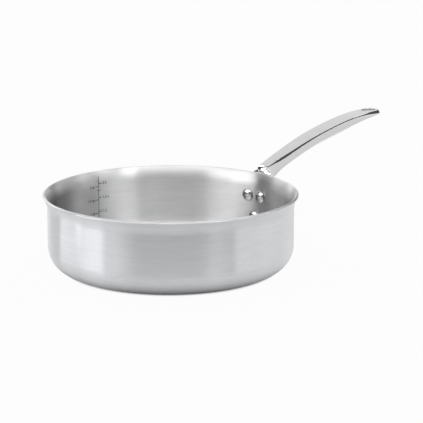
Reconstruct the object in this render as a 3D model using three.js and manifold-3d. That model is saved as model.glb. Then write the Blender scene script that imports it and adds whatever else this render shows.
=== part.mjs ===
// Straight-sided saute pan: a clad body of three bonded plies, a cast long handle and three rivets.
// Millimetres, +Z up. The origin is the centre of the base, on the surface that the pan stands on.
// The handle points along +X.

import * as THREE from "three";
import { mergeVertices, toCreasedNormals } from "three/addons/utils/BufferGeometryUtils.js";
import Module from "manifold-3d";

// Driving dimensions of the body
const rimDiameter = 230; // across the outer edge of the pouring lip
const bodyHeight = 69.5; // from the surface it stands on to the top of the lip
const lipOutset = 4.2; // how far the lip flares out past the wall
const lipFlareHeight = 12; // height over which the outer skin flares
const cornerRadius = 22; // outer radius between base and wall
const outerPlyThickness = 0.5;
const corePlyThickness = 1.5;
const innerPlyThickness = 0.5;

// Driving dimensions of the rivets
const rivetHeadDiameter = 11.2; // domed head inside the pan
const rivetHeadHeight = 3;
const rivetHeadEdge = 0.6; // straight edge under the dome
const rivetShankDiameter = 6;
const rivetTailDiameter = 8; // upset end on the flange
const rivetTailHeight = 1.2;
const rivetSpacing = 16.4; // between the two upper rivets
const rivetPitch = 20.4; // from the lower rivet up to the pair
const rivetCornerClearance = 0.2; // from the lower head to the start of the base corner

// Driving dimensions of the handle
const handleReach = 168; // from the lip's edge to the tip of the tail
const handleRise = 40.2; // from the top of the lip to the top of the tail
const flangeThickness = 3.2;
const flangeMargin = 8.2; // flange radius round each rivet
const neckWidth = 12.6; // behind the front of the top face
const neckWaist = 9.4; // across the front edge of the top face
const shoulderWidth = 17; // across the neck at the height of the lip
const shoulderThickness = 4.4; // of the apron that carries the shoulders
const neckStandoff = 2.2; // from the lip's edge to the front of the neck
const neckRise = 4.9; // from the top of the lip to the front edge of the top face
const neckReach = 13.5; // from the lip's edge to the throat under the neck
const neckDrop = 11; // from the top of the lip down to the throat
const gripFrontWidth = 15.6;
const gripFrontDepth = 15.9;
const gripMiddleWidth = 18.3;
const gripMiddleDepth = 13.5;
const gripRearWidth = 19;
const gripRearDepth = 12.6;
const tailWidth = 20;
const tailThickness = 4.5;
const gripFrontAngle = 21.8; // slope of the top face at the neck, in degrees
const tailAngle = 1; // slope of the top face at the tail, in degrees
const gripEdgeRadius = 1.3; // along both upper edges
const gripCrown = 0.4; // rise of the top face between those edges
const hangHoleLength = 16;
const hangHoleWidth = 11;
const hangHoleEndWall = 4.5; // metal left between the hole and the tip
const hangHoleEase = 0.8; // bevel round the upper mouth of the hole

// Places of the three grip sections, as shares of the top face's length
const gripFrontPlace = 0.16;
const gripMiddlePlace = 0.45;
const gripRearPlace = 0.74;

// Clearances
const flangeClearance = 0.3; // between the flange and the outer skin
const rivetHoleClearance = 0.3; // round each shank
const rivetSeatClearance = 0.25; // under head and tail
const rivetWebClearance = 0.6; // between the rivet tails and the neck's web

// Facets
const bodySegments = 64;
const cornerSegments = 5;
const lipSegments = 3;
const roundSegments = 24;

// Sizes that follow from those above
const rimRadius = rimDiameter / 2;
const wallRadius = rimRadius - lipOutset;
const wallThickness = outerPlyThickness + corePlyThickness + innerPlyThickness;
const innerRadius = wallRadius - wallThickness;
const flareRadius = (lipFlareHeight ** 2 + lipOutset ** 2) / (2 * lipOutset);
const flareAngle = Math.asin(lipFlareHeight / flareRadius);
const flareStart = bodyHeight - lipFlareHeight - wallThickness * Math.sin(flareAngle);
const flangeInnerRadius = wallRadius + flangeClearance;
const flangeOuterRadius = flangeInnerRadius + flangeThickness;
const rivetHeadRadius = rivetHeadDiameter / 2;
const rivetTailRadius = rivetTailDiameter / 2;
const rivetLowerHeight = cornerRadius + rivetHeadRadius + rivetCornerClearance;
const rivetUpperHeight = rivetLowerHeight + rivetPitch;
const rivetAzimuth = Math.asin(rivetSpacing / 2 / innerRadius);

const wasm = await Module();
wasm.setup();

// Closed mesh to solid, for joining and cutting
function solidFrom(geometry) {
  const bare = geometry.clone();
  bare.deleteAttribute("normal");
  bare.deleteAttribute("uv");
  const merged = mergeVertices(bare, 1e-4);
  const corners = merged.index.array;
  const triangles = [];
  for (let i = 0; i < corners.length; i += 3) {
    const triangle = [corners[i], corners[i + 1], corners[i + 2]];
    if (new Set(triangle).size === 3) {
      triangles.push(...triangle);
    }
  }
  const mesh = new wasm.Mesh({
    numProp: 3,
    vertProperties: new Float32Array(merged.attributes.position.array),
    triVerts: new Uint32Array(triangles),
  });
  return new wasm.Manifold(mesh);
}

function geometryFrom(solid) {
  const mesh = solid.getMesh();
  const geometry = new THREE.BufferGeometry();
  geometry.setAttribute("position", new THREE.BufferAttribute(mesh.vertProperties, 3));
  geometry.setIndex(new THREE.BufferAttribute(mesh.triVerts, 1));
  return toCreasedNormals(geometry, THREE.MathUtils.degToRad(30));
}

// Profile of radius and height, turned round the vertical axis
function turned(profile, segments) {
  const geometry = new THREE.LatheGeometry(profile, segments);
  geometry.rotateX(Math.PI / 2);
  return geometry;
}

// One surface of the body, a given depth inside the outer skin, from the axis out to the lip
function skinProfile(depth) {
  const points = [new THREE.Vector2(0, depth)];
  const corner = new THREE.EllipseCurve(
    wallRadius - cornerRadius,
    cornerRadius,
    cornerRadius - depth,
    cornerRadius - depth,
    -Math.PI / 2,
    0,
  );
  const lip = new THREE.EllipseCurve(
    wallRadius + flareRadius,
    flareStart,
    flareRadius + depth,
    flareRadius + depth,
    Math.PI,
    Math.PI - flareAngle,
    true,
  );
  points.push(...corner.getPoints(cornerSegments));
  points.push(...lip.getPoints(lipSegments));
  return points;
}

// A rivet's axis lies along +X before it is turned to its azimuth
function rivetHole(azimuth, height) {
  const inside = innerRadius - rivetTailHeight;
  const outside = flangeOuterRadius + rivetTailHeight;
  const radius = rivetShankDiameter / 2 + rivetHoleClearance;
  const hole = new THREE.CylinderGeometry(radius, radius, outside - inside, roundSegments);
  hole.rotateZ(-Math.PI / 2);
  hole.translate((inside + outside) / 2, 0, height);
  hole.rotateZ(azimuth);
  return solidFrom(hole);
}

const rivetPlaces = {
  rivet_upper_left: [rivetAzimuth, rivetUpperHeight],
  rivet_upper_right: [-rivetAzimuth, rivetUpperHeight],
  rivet_lower: [0, rivetLowerHeight],
};

function drilled(solid) {
  let result = solid;
  for (const [azimuth, height] of Object.values(rivetPlaces)) {
    result = result.subtract(rivetHole(azimuth, height));
  }
  return result;
}

// A ply lies between two depths inside the outer skin
function plyGeometry(outerDepth, thickness) {
  const outside = skinProfile(outerDepth);
  const inside = skinProfile(outerDepth + thickness);
  const profile = [...outside, ...inside.reverse()];
  return geometryFrom(drilled(solidFrom(turned(profile, bodySegments))));
}

// Solid rivet: domed head inside the pan, shank through wall and flange, upset end outside
function rivetGeometry() {
  const headGap = innerRadius - Math.sqrt(innerRadius ** 2 - rivetHeadRadius ** 2);
  const headSeat = innerRadius - headGap - rivetSeatClearance;
  const tailSeat = flangeOuterRadius + rivetSeatClearance;
  const dome = new THREE.EllipseCurve(
    0,
    headSeat - rivetHeadEdge,
    rivetHeadRadius,
    rivetHeadHeight - rivetHeadEdge,
    -Math.PI / 2,
    0,
  );
  const tail = new THREE.EllipseCurve(0, tailSeat, rivetTailRadius, rivetTailHeight, 0, Math.PI / 2);
  const profile = [
    ...dome.getPoints(5),
    new THREE.Vector2(rivetHeadRadius, headSeat),
    new THREE.Vector2(rivetShankDiameter / 2, headSeat),
    new THREE.Vector2(rivetShankDiameter / 2, tailSeat),
    ...tail.getPoints(3),
  ];
  profile[0].x = 0;
  profile[profile.length - 1].x = 0;
  const geometry = new THREE.LatheGeometry(profile, roundSegments);
  geometry.rotateZ(-Math.PI / 2);
  return geometry;
}

// Shield that holds the three rivets, bent to the wall
function flangeSolid() {
  const halfSpacing = flangeOuterRadius * Math.sin(rivetAzimuth);
  const lower = new THREE.Vector2(0, rivetLowerHeight);
  const right = new THREE.Vector2(halfSpacing, rivetUpperHeight);
  const left = new THREE.Vector2(-halfSpacing, rivetUpperHeight);
  const sideAngle = right.clone().sub(lower).angle() - Math.PI / 2;
  const outline = new THREE.Shape();
  outline.absarc(lower.x, lower.y, flangeMargin, Math.PI - sideAngle, 2 * Math.PI + sideAngle);
  outline.absarc(right.x, right.y, flangeMargin, sideAngle, Math.PI / 2);
  outline.absarc(left.x, left.y, flangeMargin, Math.PI / 2, Math.PI - sideAngle);
  const shield = new THREE.ExtrudeGeometry(outline, {
    depth: 2 * flangeOuterRadius,
    bevelEnabled: false,
    curveSegments: 10,
  });
  shield.rotateX(Math.PI / 2);
  shield.rotateZ(Math.PI / 2);
  const low = rivetLowerHeight - 2 * flangeMargin;
  const high = rivetUpperHeight + 2 * flangeMargin;
  const band = [
    new THREE.Vector2(flangeInnerRadius, low),
    new THREE.Vector2(flangeOuterRadius, low),
    new THREE.Vector2(flangeOuterRadius, high),
    new THREE.Vector2(flangeInnerRadius, high),
    new THREE.Vector2(flangeInnerRadius, low),
  ];
  return solidFrom(turned(band, 2 * bodySegments)).intersect(solidFrom(shield));
}

// Half of a handle section as side and depth: crowned top, rounded edge, then the belly.
// A boxiness of 0 is a keeled belly, and 1 is a flat plate.
function halfSection(halfWidth, depth, boxiness) {
  const edge = Math.min(gripEdgeRadius, halfWidth / 2, depth / 3);
  const lean = THREE.MathUtils.degToRad(14) * (1 - boxiness);
  const fillet = new THREE.EllipseCurve(
    halfWidth - edge,
    gripCrown + edge,
    edge,
    edge,
    -Math.PI / 2,
    lean,
  );
  const start = fillet.getPoint(1);
  const fullness = THREE.MathUtils.lerp(0.5, 0.9, boxiness);
  const fall = (depth - start.y) * fullness;
  const belly = new THREE.CubicBezierCurve(
    start,
    new THREE.Vector2(start.x - fall * Math.sin(lean), start.y + fall * Math.cos(lean)),
    new THREE.Vector2(halfWidth * fullness, depth),
    new THREE.Vector2(0, depth),
  );
  return [new THREE.Vector2(0, 0), ...fillet.getPoints(3), ...belly.getPoints(6).slice(1)];
}

// Whole section in the plane through its top point, its belly point and the Y direction
function sectionRing(top, belly, halfWidth, boxiness) {
  const down = belly.clone().sub(top);
  const depth = down.length();
  down.normalize();
  const half = halfSection(halfWidth, depth, boxiness);
  const mirrored = half
    .slice(1, -1)
    .reverse()
    .map((point) => new THREE.Vector2(-point.x, point.y));
  return [...half, ...mirrored].map(
    (point) => new THREE.Vector3(top.x + down.x * point.y, point.x, top.y + down.y * point.y),
  );
}

// Closed skin over a row of rings with equal counts
function lofted(rings) {
  const count = rings[0].length;
  const middle = (ring) =>
    ring.reduce((sum, point) => sum.add(point), new THREE.Vector3()).divideScalar(count);
  const points = [...rings.flat(), middle(rings[0]), middle(rings[rings.length - 1])];
  const firstMiddle = points.length - 2;
  const lastMiddle = points.length - 1;
  const lastRing = (rings.length - 1) * count;
  const index = [];
  for (let side = 0; side < count; side += 1) {
    const next = (side + 1) % count;
    for (let ring = 0; ring < rings.length - 1; ring += 1) {
      const near = ring * count;
      const far = near + count;
      index.push(near + side, far + side, near + next);
      index.push(near + next, far + side, far + next);
    }
    index.push(firstMiddle, side, next);
    index.push(lastMiddle, lastRing + next, lastRing + side);
  }
  const geometry = new THREE.BufferGeometry().setFromPoints(points);
  geometry.setIndex(index);
  return geometry;
}

// Top face of the grip, from the front edge over the lip to the centre of the rounded tail
const tipRadius = rimRadius + handleReach;
const topStart = new THREE.Vector2(rimRadius + neckStandoff + gripEdgeRadius, bodyHeight + neckRise);
const topEnd = new THREE.Vector2(tipRadius - tailWidth / 2, bodyHeight + handleRise);

function slope(degrees, length) {
  const angle = THREE.MathUtils.degToRad(degrees);
  return new THREE.Vector2(Math.cos(angle), Math.sin(angle)).multiplyScalar(length);
}

const topHandle = (topEnd.x - topStart.x) / 3;
const topLine = new THREE.CubicBezierCurve(
  topStart,
  topStart.clone().add(slope(gripFrontAngle, topHandle)),
  topEnd.clone().sub(slope(tailAngle, topHandle)),
  topEnd,
);

// Section of the grip at a share of the top face's length
function gripStation(place, width, depth, boxiness) {
  const top = topLine.getPoint(place);
  const belly = new THREE.Vector2(top.x, top.y - depth);
  return { top, belly, halfWidth: width / 2, boxiness };
}

// Rings through a row of stations, with smooth lines between them
function stationRings(stations, ringsPerStation) {
  const place = (point) => new THREE.Vector3(point.x, 0, point.y);
  const tops = new THREE.CatmullRomCurve3(stations.map((station) => place(station.top)));
  const bellies = new THREE.CatmullRomCurve3(stations.map((station) => place(station.belly)));
  const forms = new THREE.CatmullRomCurve3(
    stations.map((station) => new THREE.Vector3(station.halfWidth, station.boxiness, 0)),
    false,
    "catmullrom",
    0.4,
  );
  const ringCount = ringsPerStation * (stations.length - 1);
  const rings = [];
  for (let ring = 0; ring <= ringCount; ring += 1) {
    const top = tops.getPoint(ring / ringCount);
    const belly = bellies.getPoint(ring / ringCount);
    const form = forms.getPoint(ring / ringCount);
    rings.push(
      sectionRing(
        new THREE.Vector2(top.x, top.z),
        new THREE.Vector2(belly.x, belly.z),
        form.x,
        THREE.MathUtils.clamp(form.y, 0, 1),
      ),
    );
  }
  return rings;
}

// Front of the neck, from under the lip up to the front edge of the top face
const neckFoot = new THREE.Vector2(flangeOuterRadius - flangeThickness / 2, flareStart - rivetWebClearance);
const neckUnderLip = new THREE.Vector2(
  rimRadius + neckStandoff - lipOutset / 4,
  flareStart + lipFlareHeight / 2,
);
const neckShoulder = new THREE.Vector2(rimRadius + neckStandoff, bodyHeight);
const neckFront = topStart.clone().sub(slope(gripFrontAngle + 45, gripEdgeRadius));

// Shoulders of the neck: an apron that rises from the flange, round the lip, to the top face
function shoulderSolid() {
  const behind = (point, degrees) => point.clone().add(slope(degrees, shoulderThickness));
  const station = (top, degrees, width) => ({
    top,
    belly: behind(top, degrees),
    halfWidth: width / 2,
    boxiness: 1,
  });
  const footWidth = rivetSpacing + rivetTailDiameter;
  const stations = [
    station(neckFoot, -35, footWidth),
    station(neckUnderLip, -25, (footWidth + shoulderWidth) / 2),
    station(neckShoulder, -15, shoulderWidth),
    station(neckFront, -40, neckWaist),
  ];
  return solidFrom(lofted(stationRings(stations, 3)));
}

// Web, neck and grip, from the flange to the rounded tail
function gripSolid() {
  const webHalfWidth = rivetSpacing / 2 - rivetTailRadius - rivetWebClearance;
  const webFoot = rivetLowerHeight + rivetTailRadius + rivetWebClearance;
  const throat = new THREE.Vector2(rimRadius + neckReach, bodyHeight - neckDrop);
  const gripFront = gripStation(gripFrontPlace, gripFrontWidth, gripFrontDepth, 0.1);
  const stations = [
    {
      top: neckFoot,
      belly: new THREE.Vector2(neckFoot.x, webFoot),
      halfWidth: webHalfWidth,
      boxiness: 1,
    },
    {
      top: neckUnderLip,
      belly: new THREE.Vector2(
        THREE.MathUtils.lerp(flangeOuterRadius, throat.x, 0.36),
        THREE.MathUtils.lerp(webFoot, throat.y, 0.5),
      ),
      halfWidth: webHalfWidth,
      boxiness: 0.8,
    },
    {
      top: neckFront,
      belly: throat,
      halfWidth: neckWaist / 2,
      boxiness: 0.5,
    },
    {
      top: topLine.getPoint(gripFrontPlace / 4),
      belly: throat.clone().lerp(gripFront.belly, 0.4),
      halfWidth: neckWidth / 2,
      boxiness: 0.3,
    },
    gripFront,
    gripStation(gripMiddlePlace, gripMiddleWidth, gripMiddleDepth, 0),
    gripStation(gripRearPlace, gripRearWidth, gripRearDepth, 0),
    gripStation(1, tailWidth, tailThickness, 1),
  ];
  const rings = stationRings(stations, 3);
  const tailSteps = 7;
  for (let step = 1; step <= tailSteps; step += 1) {
    const angle = ((step - 0.2) / tailSteps) * (Math.PI / 2);
    const top = topEnd.clone().add(slope(tailAngle, (tailWidth / 2) * Math.sin(angle)));
    const belly = new THREE.Vector2(top.x, top.y - tailThickness);
    rings.push(sectionRing(top, belly, (tailWidth / 2) * Math.cos(angle), 1));
  }
  return solidFrom(lofted(rings));
}

// Oval hole straight down through the tail, bevelled at its upper mouth
function hangHoleSolid() {
  const centre = tipRadius - hangHoleEndWall - hangHoleLength / 2;
  const roof = topEnd.y;
  const below = roof - gripRearDepth;
  const radius = hangHoleWidth / 2;
  const wide = radius + 3 * hangHoleEase;
  const profile = [
    new THREE.Vector2(0, below),
    new THREE.Vector2(radius, below),
    new THREE.Vector2(radius, roof - hangHoleEase),
    new THREE.Vector2(wide, roof + 2 * hangHoleEase),
    new THREE.Vector2(0, roof + 2 * hangHoleEase),
  ];
  const cutter = turned(profile, roundSegments);
  cutter.scale(hangHoleLength / hangHoleWidth, 1, 1);
  cutter.translate(centre, 0, 0);
  return solidFrom(cutter);
}

// Space of the body, kept clear of the handle by the flange clearance
function bodyClearance() {
  const profile = skinProfile(-flangeClearance);
  const above = bodyHeight + handleRise;
  profile.push(new THREE.Vector2(rimRadius + flangeClearance, above));
  profile.push(new THREE.Vector2(0, above));
  return solidFrom(turned(profile, 2 * bodySegments));
}

// One casting: flange, web, neck, grip and tail
function handleGeometry() {
  const casting = flangeSolid().add(shoulderSolid()).add(gripSolid());
  return geometryFrom(drilled(casting.subtract(bodyClearance())).subtract(hangHoleSolid()));
}

function metal(color, roughness) {
  return new THREE.MeshStandardMaterial({ color, roughness, metalness: 1 });
}

function piece(name, geometry, material) {
  const mesh = new THREE.Mesh(geometry, material);
  mesh.name = name;
  return mesh;
}

const pan = new THREE.Group();
pan.add(piece("outer_ply", plyGeometry(0, outerPlyThickness), metal(0xc4c5c6, 0.36)));
pan.add(piece("core_ply", plyGeometry(outerPlyThickness, corePlyThickness), metal(0xd3d5d7, 0.45)));
pan.add(
  piece(
    "inner_ply",
    plyGeometry(outerPlyThickness + corePlyThickness, innerPlyThickness),
    metal(0xc8c8c7, 0.34),
  ),
);
pan.add(piece("handle", handleGeometry(), metal(0xd0d0d1, 0.16)));
for (const [name, [azimuth, height]] of Object.entries(rivetPlaces)) {
  const rivet = piece(name, rivetGeometry(), metal(0xd6d6d6, 0.12));
  rivet.rotation.z = azimuth;
  rivet.position.z = height;
  pan.add(rivet);
}

export default pan;
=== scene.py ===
import math

import bmesh
import bpy
import numpy as np
from mathutils import Matrix, Vector
from mathutils.bvhtree import BVHTree


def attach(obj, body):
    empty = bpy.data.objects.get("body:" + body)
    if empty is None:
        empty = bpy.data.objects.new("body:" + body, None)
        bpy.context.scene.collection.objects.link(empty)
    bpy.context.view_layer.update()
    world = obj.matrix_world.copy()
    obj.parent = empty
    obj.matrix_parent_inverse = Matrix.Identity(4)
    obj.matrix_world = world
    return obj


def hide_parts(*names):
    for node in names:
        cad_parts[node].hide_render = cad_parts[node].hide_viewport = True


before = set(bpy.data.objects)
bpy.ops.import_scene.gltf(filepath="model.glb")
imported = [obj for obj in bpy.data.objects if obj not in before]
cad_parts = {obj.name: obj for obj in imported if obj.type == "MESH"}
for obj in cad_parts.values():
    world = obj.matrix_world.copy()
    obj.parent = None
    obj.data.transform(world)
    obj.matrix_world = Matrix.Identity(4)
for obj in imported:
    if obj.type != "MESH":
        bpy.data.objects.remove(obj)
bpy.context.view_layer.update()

# Sizes in millimetres that the visible pieces share with the solids
RIM_RADIUS = 115.0
BODY_HEIGHT = 69.5
LIP_OUTSET = 4.2
LIP_FLARE_HEIGHT = 12.0
CORNER_RADIUS = 22.0
OUTER_PLY = 0.5
CORE_PLY = 1.5
INNER_PLY = 0.5
RIVET_HEAD_RADIUS = 5.6
RIVET_HEAD_HEIGHT = 3.0
RIVET_SHANK_RADIUS = 3.0
RIVET_TAIL_RADIUS = 4.0
RIVET_TAIL_HEIGHT = 1.2
RIVET_SPACING = 16.4
RIVET_PITCH = 20.4
RIVET_CORNER_CLEARANCE = 0.2
HANDLE_REACH = 168.0
HANDLE_RISE = 40.2
FLANGE_THICKNESS = 3.2
FLANGE_MARGIN = 8.2
NECK_WIDTH = 12.6
SHOULDER_THICKNESS = 4.4
NECK_STANDOFF = 2.2
NECK_RISE = 4.9
NECK_REACH = 13.5
NECK_DROP = 11.0
TAIL_WIDTH = 20.0
TAIL_THICKNESS = 4.5
GRIP_EDGE_RADIUS = 1.3
GRIP_CROWN = 0.4
HANG_HOLE_LENGTH = 16.0
HANG_HOLE_WIDTH = 11.0
HANG_HOLE_END_WALL = 4.5
FLANGE_CLEARANCE = 0.3
RIVET_HOLE_CLEARANCE = 0.3
RIVET_SEAT_CLEARANCE = 0.25
RIVET_WEB_CLEARANCE = 0.6

# Slopes of the handle's top line at its two ends, in degrees
GRIP_FRONT_ANGLE = 21.8
TAIL_ANGLE = 1.0

# Places along the top line, from 0 to 1, with the width and depth there in millimetres
GRIP_FRONT = (0.16, 15.6, 15.9)
GRIP_MIDDLE = (0.45, 18.3, 13.5)
GRIP_REAR = (0.74, 19.0, 12.6)
GRIP_TAB = (0.9, 19.8, 8.2)

# Brow: its place along the top line from 0 to 1, its spread past the waist in millimetres
BROW = 0.008
BROW_SPREAD = 0.2

# Bellies of the neck: shares of the way from the flange to the throat, or from there to the grip
UNDER_LIP_SHARE = 0.36
BROW_SHARE = 0.1
NECK_TOP_SHARE = 0.4

# Finer forms than the solids have, in millimetres
LIP_ROUND = 0.5
RIVET_HEAD_EDGE = 0.8
RIVET_HEAD_UNDERCUT = 0.9
NECK_WAIST = 11.4
SHOULDER_WIDTH = 23.0
CHINE_EASE = 1.2
HANG_HOLE_EASE = 0.5
FILLET_START = 90.0
FILLET_END = 150.0
FILLET_HALF_WIDTH = 60.0
FILLET_TOP = 140.0
FILLET_VOXEL = 0.5
FILLET_INSET = 0.04

# Smoothing of the fillets: how often, and how far each point goes towards its neighbours
FILLET_PASSES = 60
FILLET_STEP = 0.5

# Slopes of the apron at its four stations, in degrees
SHOULDER_LEANS = (-35, -25, -15, -40)

# Shares of a grip section. The boxy ones are added as the section grows boxier.
BEVEL_TOP_EASE = 0.1
CHINE_DEPTH = 0.5
CHINE_DEPTH_BOXY = 0.25
CHINE_EASE_MOST = 0.45
KEEL_WIDTH = 0.45
KEEL_WIDTH_BOXY = 0.5
KEEL_SLANT = 0.6
KEEL_ROUND = 0.7

# Edge forms: bevel width, its turn from straight up, edge radius, lean of the side below, boxiness.
# Widths and radii are in millimetres, turns and leans in degrees, and boxiness runs from 0 to 1.
SQUARE_FORM = (0.2, 60, GRIP_EDGE_RADIUS, 0, 1)
UNDER_LIP_FORM = (0.2, 60, GRIP_EDGE_RADIUS, 3, 0.8)
NECK_FRONT_FORM = (0.3, 60, GRIP_EDGE_RADIUS, 7, 0.5)
BROW_FORM = (0.5, 61, 1.2, 8, 0.45)
NECK_TOP_FORM = (1.0, 62, 0.9, 10, 0.3)
FRONT_FORM = (2.6, 62, 0.6, 13, 0.1)
MIDDLE_FORM = (1.2, 64, 0.6, 14, 0)
REAR_FORM = (0.9, 62, 0.6, 14, 0)
TAB_FORM = (1.7, 60, 0.6, 10, 0.4)
TAIL_FORM = (3.0, 56, 0.6, 0, 1)

# Sizes that follow from those above
WALL_RADIUS = RIM_RADIUS - LIP_OUTSET
WALL_THICKNESS = OUTER_PLY + CORE_PLY + INNER_PLY
INNER_RADIUS = WALL_RADIUS - WALL_THICKNESS
FLARE_RADIUS = (LIP_FLARE_HEIGHT**2 + LIP_OUTSET**2) / (2 * LIP_OUTSET)
FLARE_ANGLE = math.asin(LIP_FLARE_HEIGHT / FLARE_RADIUS)
FLARE_START = BODY_HEIGHT - LIP_FLARE_HEIGHT - WALL_THICKNESS * math.sin(FLARE_ANGLE)
FLANGE_INNER = WALL_RADIUS + FLANGE_CLEARANCE
FLANGE_OUTER = FLANGE_INNER + FLANGE_THICKNESS
RIVET_LOWER = CORNER_RADIUS + RIVET_HEAD_RADIUS + RIVET_CORNER_CLEARANCE
RIVET_UPPER = RIVET_LOWER + RIVET_PITCH
RIVET_AZIMUTH = math.asin(RIVET_SPACING / 2 / INNER_RADIUS)
TIP_RADIUS = RIM_RADIUS + HANDLE_REACH
RIVETS = {
    "rivet_upper_left": (RIVET_AZIMUTH, RIVET_UPPER),
    "rivet_upper_right": (-RIVET_AZIMUTH, RIVET_UPPER),
    "rivet_lower": (0.0, RIVET_LOWER),
}

# Volume scale: its bearing in degrees, its foot and its short mark in litres
SCALE_BEARING = 85.6
SCALE_FOOT = 0.75
SCALE_SHORT_MARK = 1.75
SCALE_VOLUMES = (1, 1.5, 2)

# Volume scale: its lines and letters in millimetres
SCALE_TOP = 65.0
SCALE_LINE = 0.55
SCALE_PROUD = 0.06
TICK_LENGTH = 4.0
LABEL_GAP = 0.8
LABEL_SIZE = 3.6
LABEL_BOLDNESS = 0.07

# Units on the two sides of the scale: side, litres in one unit, its sign, alignment of the letters
SCALE_UNITS = ((1, 1, "L", "LEFT"), (-1, 0.946353, "qt", "RIGHT"))
CUBIC_MM_PER_LITRE = 1e6

# Distance from the wall to the middle of what a round corner leaves out, as a share of its radius
CORNER_CENTROID = 0.22

# Metres in a millimetre
MM = 0.001

# Fineness of the meshes
SEGMENTS = 192
FINE_SEGMENTS = 512
RIVET_SEGMENTS = 64
FLOOR_RINGS = 24
CORNER_STEPS = 28
WALL_RINGS = 20
FLARE_RINGS = 19
LIP_RINGS = 9
RIVET_HOLE_SIDES = 48
BEVEL_TOP_STEPS = 4
BEVEL_STEPS = 4
EDGE_STEPS = 8
CROWN_STEPS = 6
FACE_STEPS = 8
CHINE_STEPS = 6
KEEL_STEPS = 14
RINGS_PER_STATION = 16
TAIL_RINGS = 32
SHOULDER_RINGS = 14
FLANGE_FOOT_STEPS = 40
FLANGE_TOP_STEPS = 24
HANG_HOLE_SIDES = 96
HANG_HOLE_EASE_STEPS = 6
RIVET_DOME_RINGS = 20
RIVET_EDGE_RINGS = 8
RIVET_TAIL_RINGS = 12
MARK_STEPS = 10
MARK_DIGITS = 3

# Limits: radius that counts as the axis in millimetres, lengths in metres that are welded
AXIS_LIMIT = 1e-6
WELD_DISTANCE = 1e-6

# Least gap between knots of a smooth line, pull of the line through the edge forms
KNOT_GAP = 1e-4
FORM_TENSION = 0.4

# Height in metres from which rays find the tail's top face, share to which its last ring folds
HOLE_RAY_TOP = 0.2
TAIL_FOLD = 0.998

# Edges sharper than these stay crisp, in degrees
BODY_CREASE = 40
HANDLE_CREASE = 35

# Brushing: cells of noise to a metre across it, and their count round a turn over two pi
COARSE_BRUSHING = (420, 5)
FINE_BRUSHING = (1900, 9)
STREAK_DETAIL = 3
STREAK_ROUGHNESS = 0.6
BRUSH_BUMP = 0.12
BRUSH_DEPTH = 0.00005
BRUSH_TURN = 0.25
BRUSH_ROUGHNESS_SPREAD = 0.03

# Clouds of noise: scale and detail
POLISH_CLOUD = (90.0, 4.0)
POLISH_HAZE = (700.0, 3.0)
PRINT_WEAR = (900.0, 3.0)

# Part of the noise that is used, shares of roughness in the haze, roughness of the print
NOISE_RANGE = (0.3, 0.7)
HAZE_SHARES = (0.75, 1.25)
PRINT_ROUGHNESS = (0.45, 0.65)

# Downward part of the normal at which the satin roughness and the painted underside shade start and
# at which they are full
SATIN_AND_SHADE_RANGE = (-0.05, -0.3)

# Numbers of a mix node's two inputs and of its output, for each kind of data
MIX_SOCKETS = {"FLOAT": (2, 3, 0), "RGBA": (6, 7, 2)}

# Camera: place, aim and clip in metres, lens and sensor in millimetres
CAMERA_PLACE = (-1.0839, -1.1503, 0.4336)
CAMERA_AIM = (0.0287, -0.0230, 0.0502)
CAMERA_CLIP = 100
CAMERA_LENS = 153.8
CAMERA_SENSOR = 36

# Degrees from +X, clockwise, to the camera's right
CAMERA_RIGHT = 43.3

# Cells of a studio panel
PANEL_COLUMNS = 24
PANEL_ROWS = 12

# Floor: half its side and its depth below the base in millimetres, and its grey
FLOOR_REACH = 8000
FLOOR_DROP = 0.1
FLOOR_GREY = 0.5

# White of the floor, as seen and as mirrored: millimetres from the centre at which it starts and is
# full, its share. Inside these radii the floor shows only its matt grey, a painted shade ring round
# the base on top of its real shadow.
FLOOR_SEEN = (90.0, 97.0, 0.96)
FLOOR_MIRRORED = (99.0, 118.0, 0.87)


# Meshes

def make(name, points, faces):
    """Object from points in millimetres."""
    mesh = bpy.data.meshes.new(name)
    mesh.from_pydata([[c * MM for c in p] for p in points], [], faces)
    mesh.update()
    piece = bpy.data.objects.new(name, mesh)
    bpy.context.scene.collection.objects.link(piece)
    return piece


def apply_modifiers(piece):
    """Bakes the modifiers into the mesh."""
    graph = bpy.context.evaluated_depsgraph_get()
    mesh = bpy.data.meshes.new_from_object(piece.evaluated_get(graph))
    piece.modifiers.clear()
    old = piece.data
    piece.data = mesh
    bpy.data.meshes.remove(old)


def combine(piece, other, operation):
    """Boolean of two closed pieces. The other one is used up."""
    step = piece.modifiers.new("combine", "BOOLEAN")
    step.operation = operation
    step.solver = "MANIFOLD"
    step.object = other
    apply_modifiers(piece)
    bpy.data.objects.remove(other)
    return piece


def smooth(piece, degrees):
    """Smooth shading, with edges sharper than the angle left crisp."""
    mesh = piece.data
    mesh.polygons.foreach_set("use_smooth", [True] * len(mesh.polygons))
    mesh.set_sharp_from_angle(angle=math.radians(degrees))


def arc(centre, radius, start, end, steps):
    """Points of radius and height along an arc, angles in radians."""
    turns = np.linspace(start, end, steps + 1)
    return [(centre[0] + radius * math.cos(t), centre[1] + radius * math.sin(t)) for t in turns]


def shares(steps):
    """Even steps from 0 to 1."""
    return np.linspace(0, 1, steps + 1)


def turned(name, profile, segments=SEGMENTS):
    """Closed solid from a profile of radius and height, turned round the vertical axis."""
    points = []
    rows = []
    for radius, height in profile:
        start = len(points)
        if radius < AXIS_LIMIT:
            points.append((0, 0, height))
            rows.append([start] * segments)
        else:
            for k in range(segments):
                turn = 2 * math.pi * k / segments
                points.append((radius * math.cos(turn), radius * math.sin(turn), height))
            rows.append(list(range(start, start + segments)))
    faces = []
    pairs = list(zip(rows, rows[1:]))
    if profile[0][0] > AXIS_LIMIT:
        pairs.append((rows[-1], rows[0]))
    for low, high in pairs:
        for k in range(segments):
            n = (k + 1) % segments
            face = [low[k], low[n], high[n], high[k]]
            face = list(dict.fromkeys(face))
            if len(face) > 2:
                faces.append(face)
    return make(name, points, faces)


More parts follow.
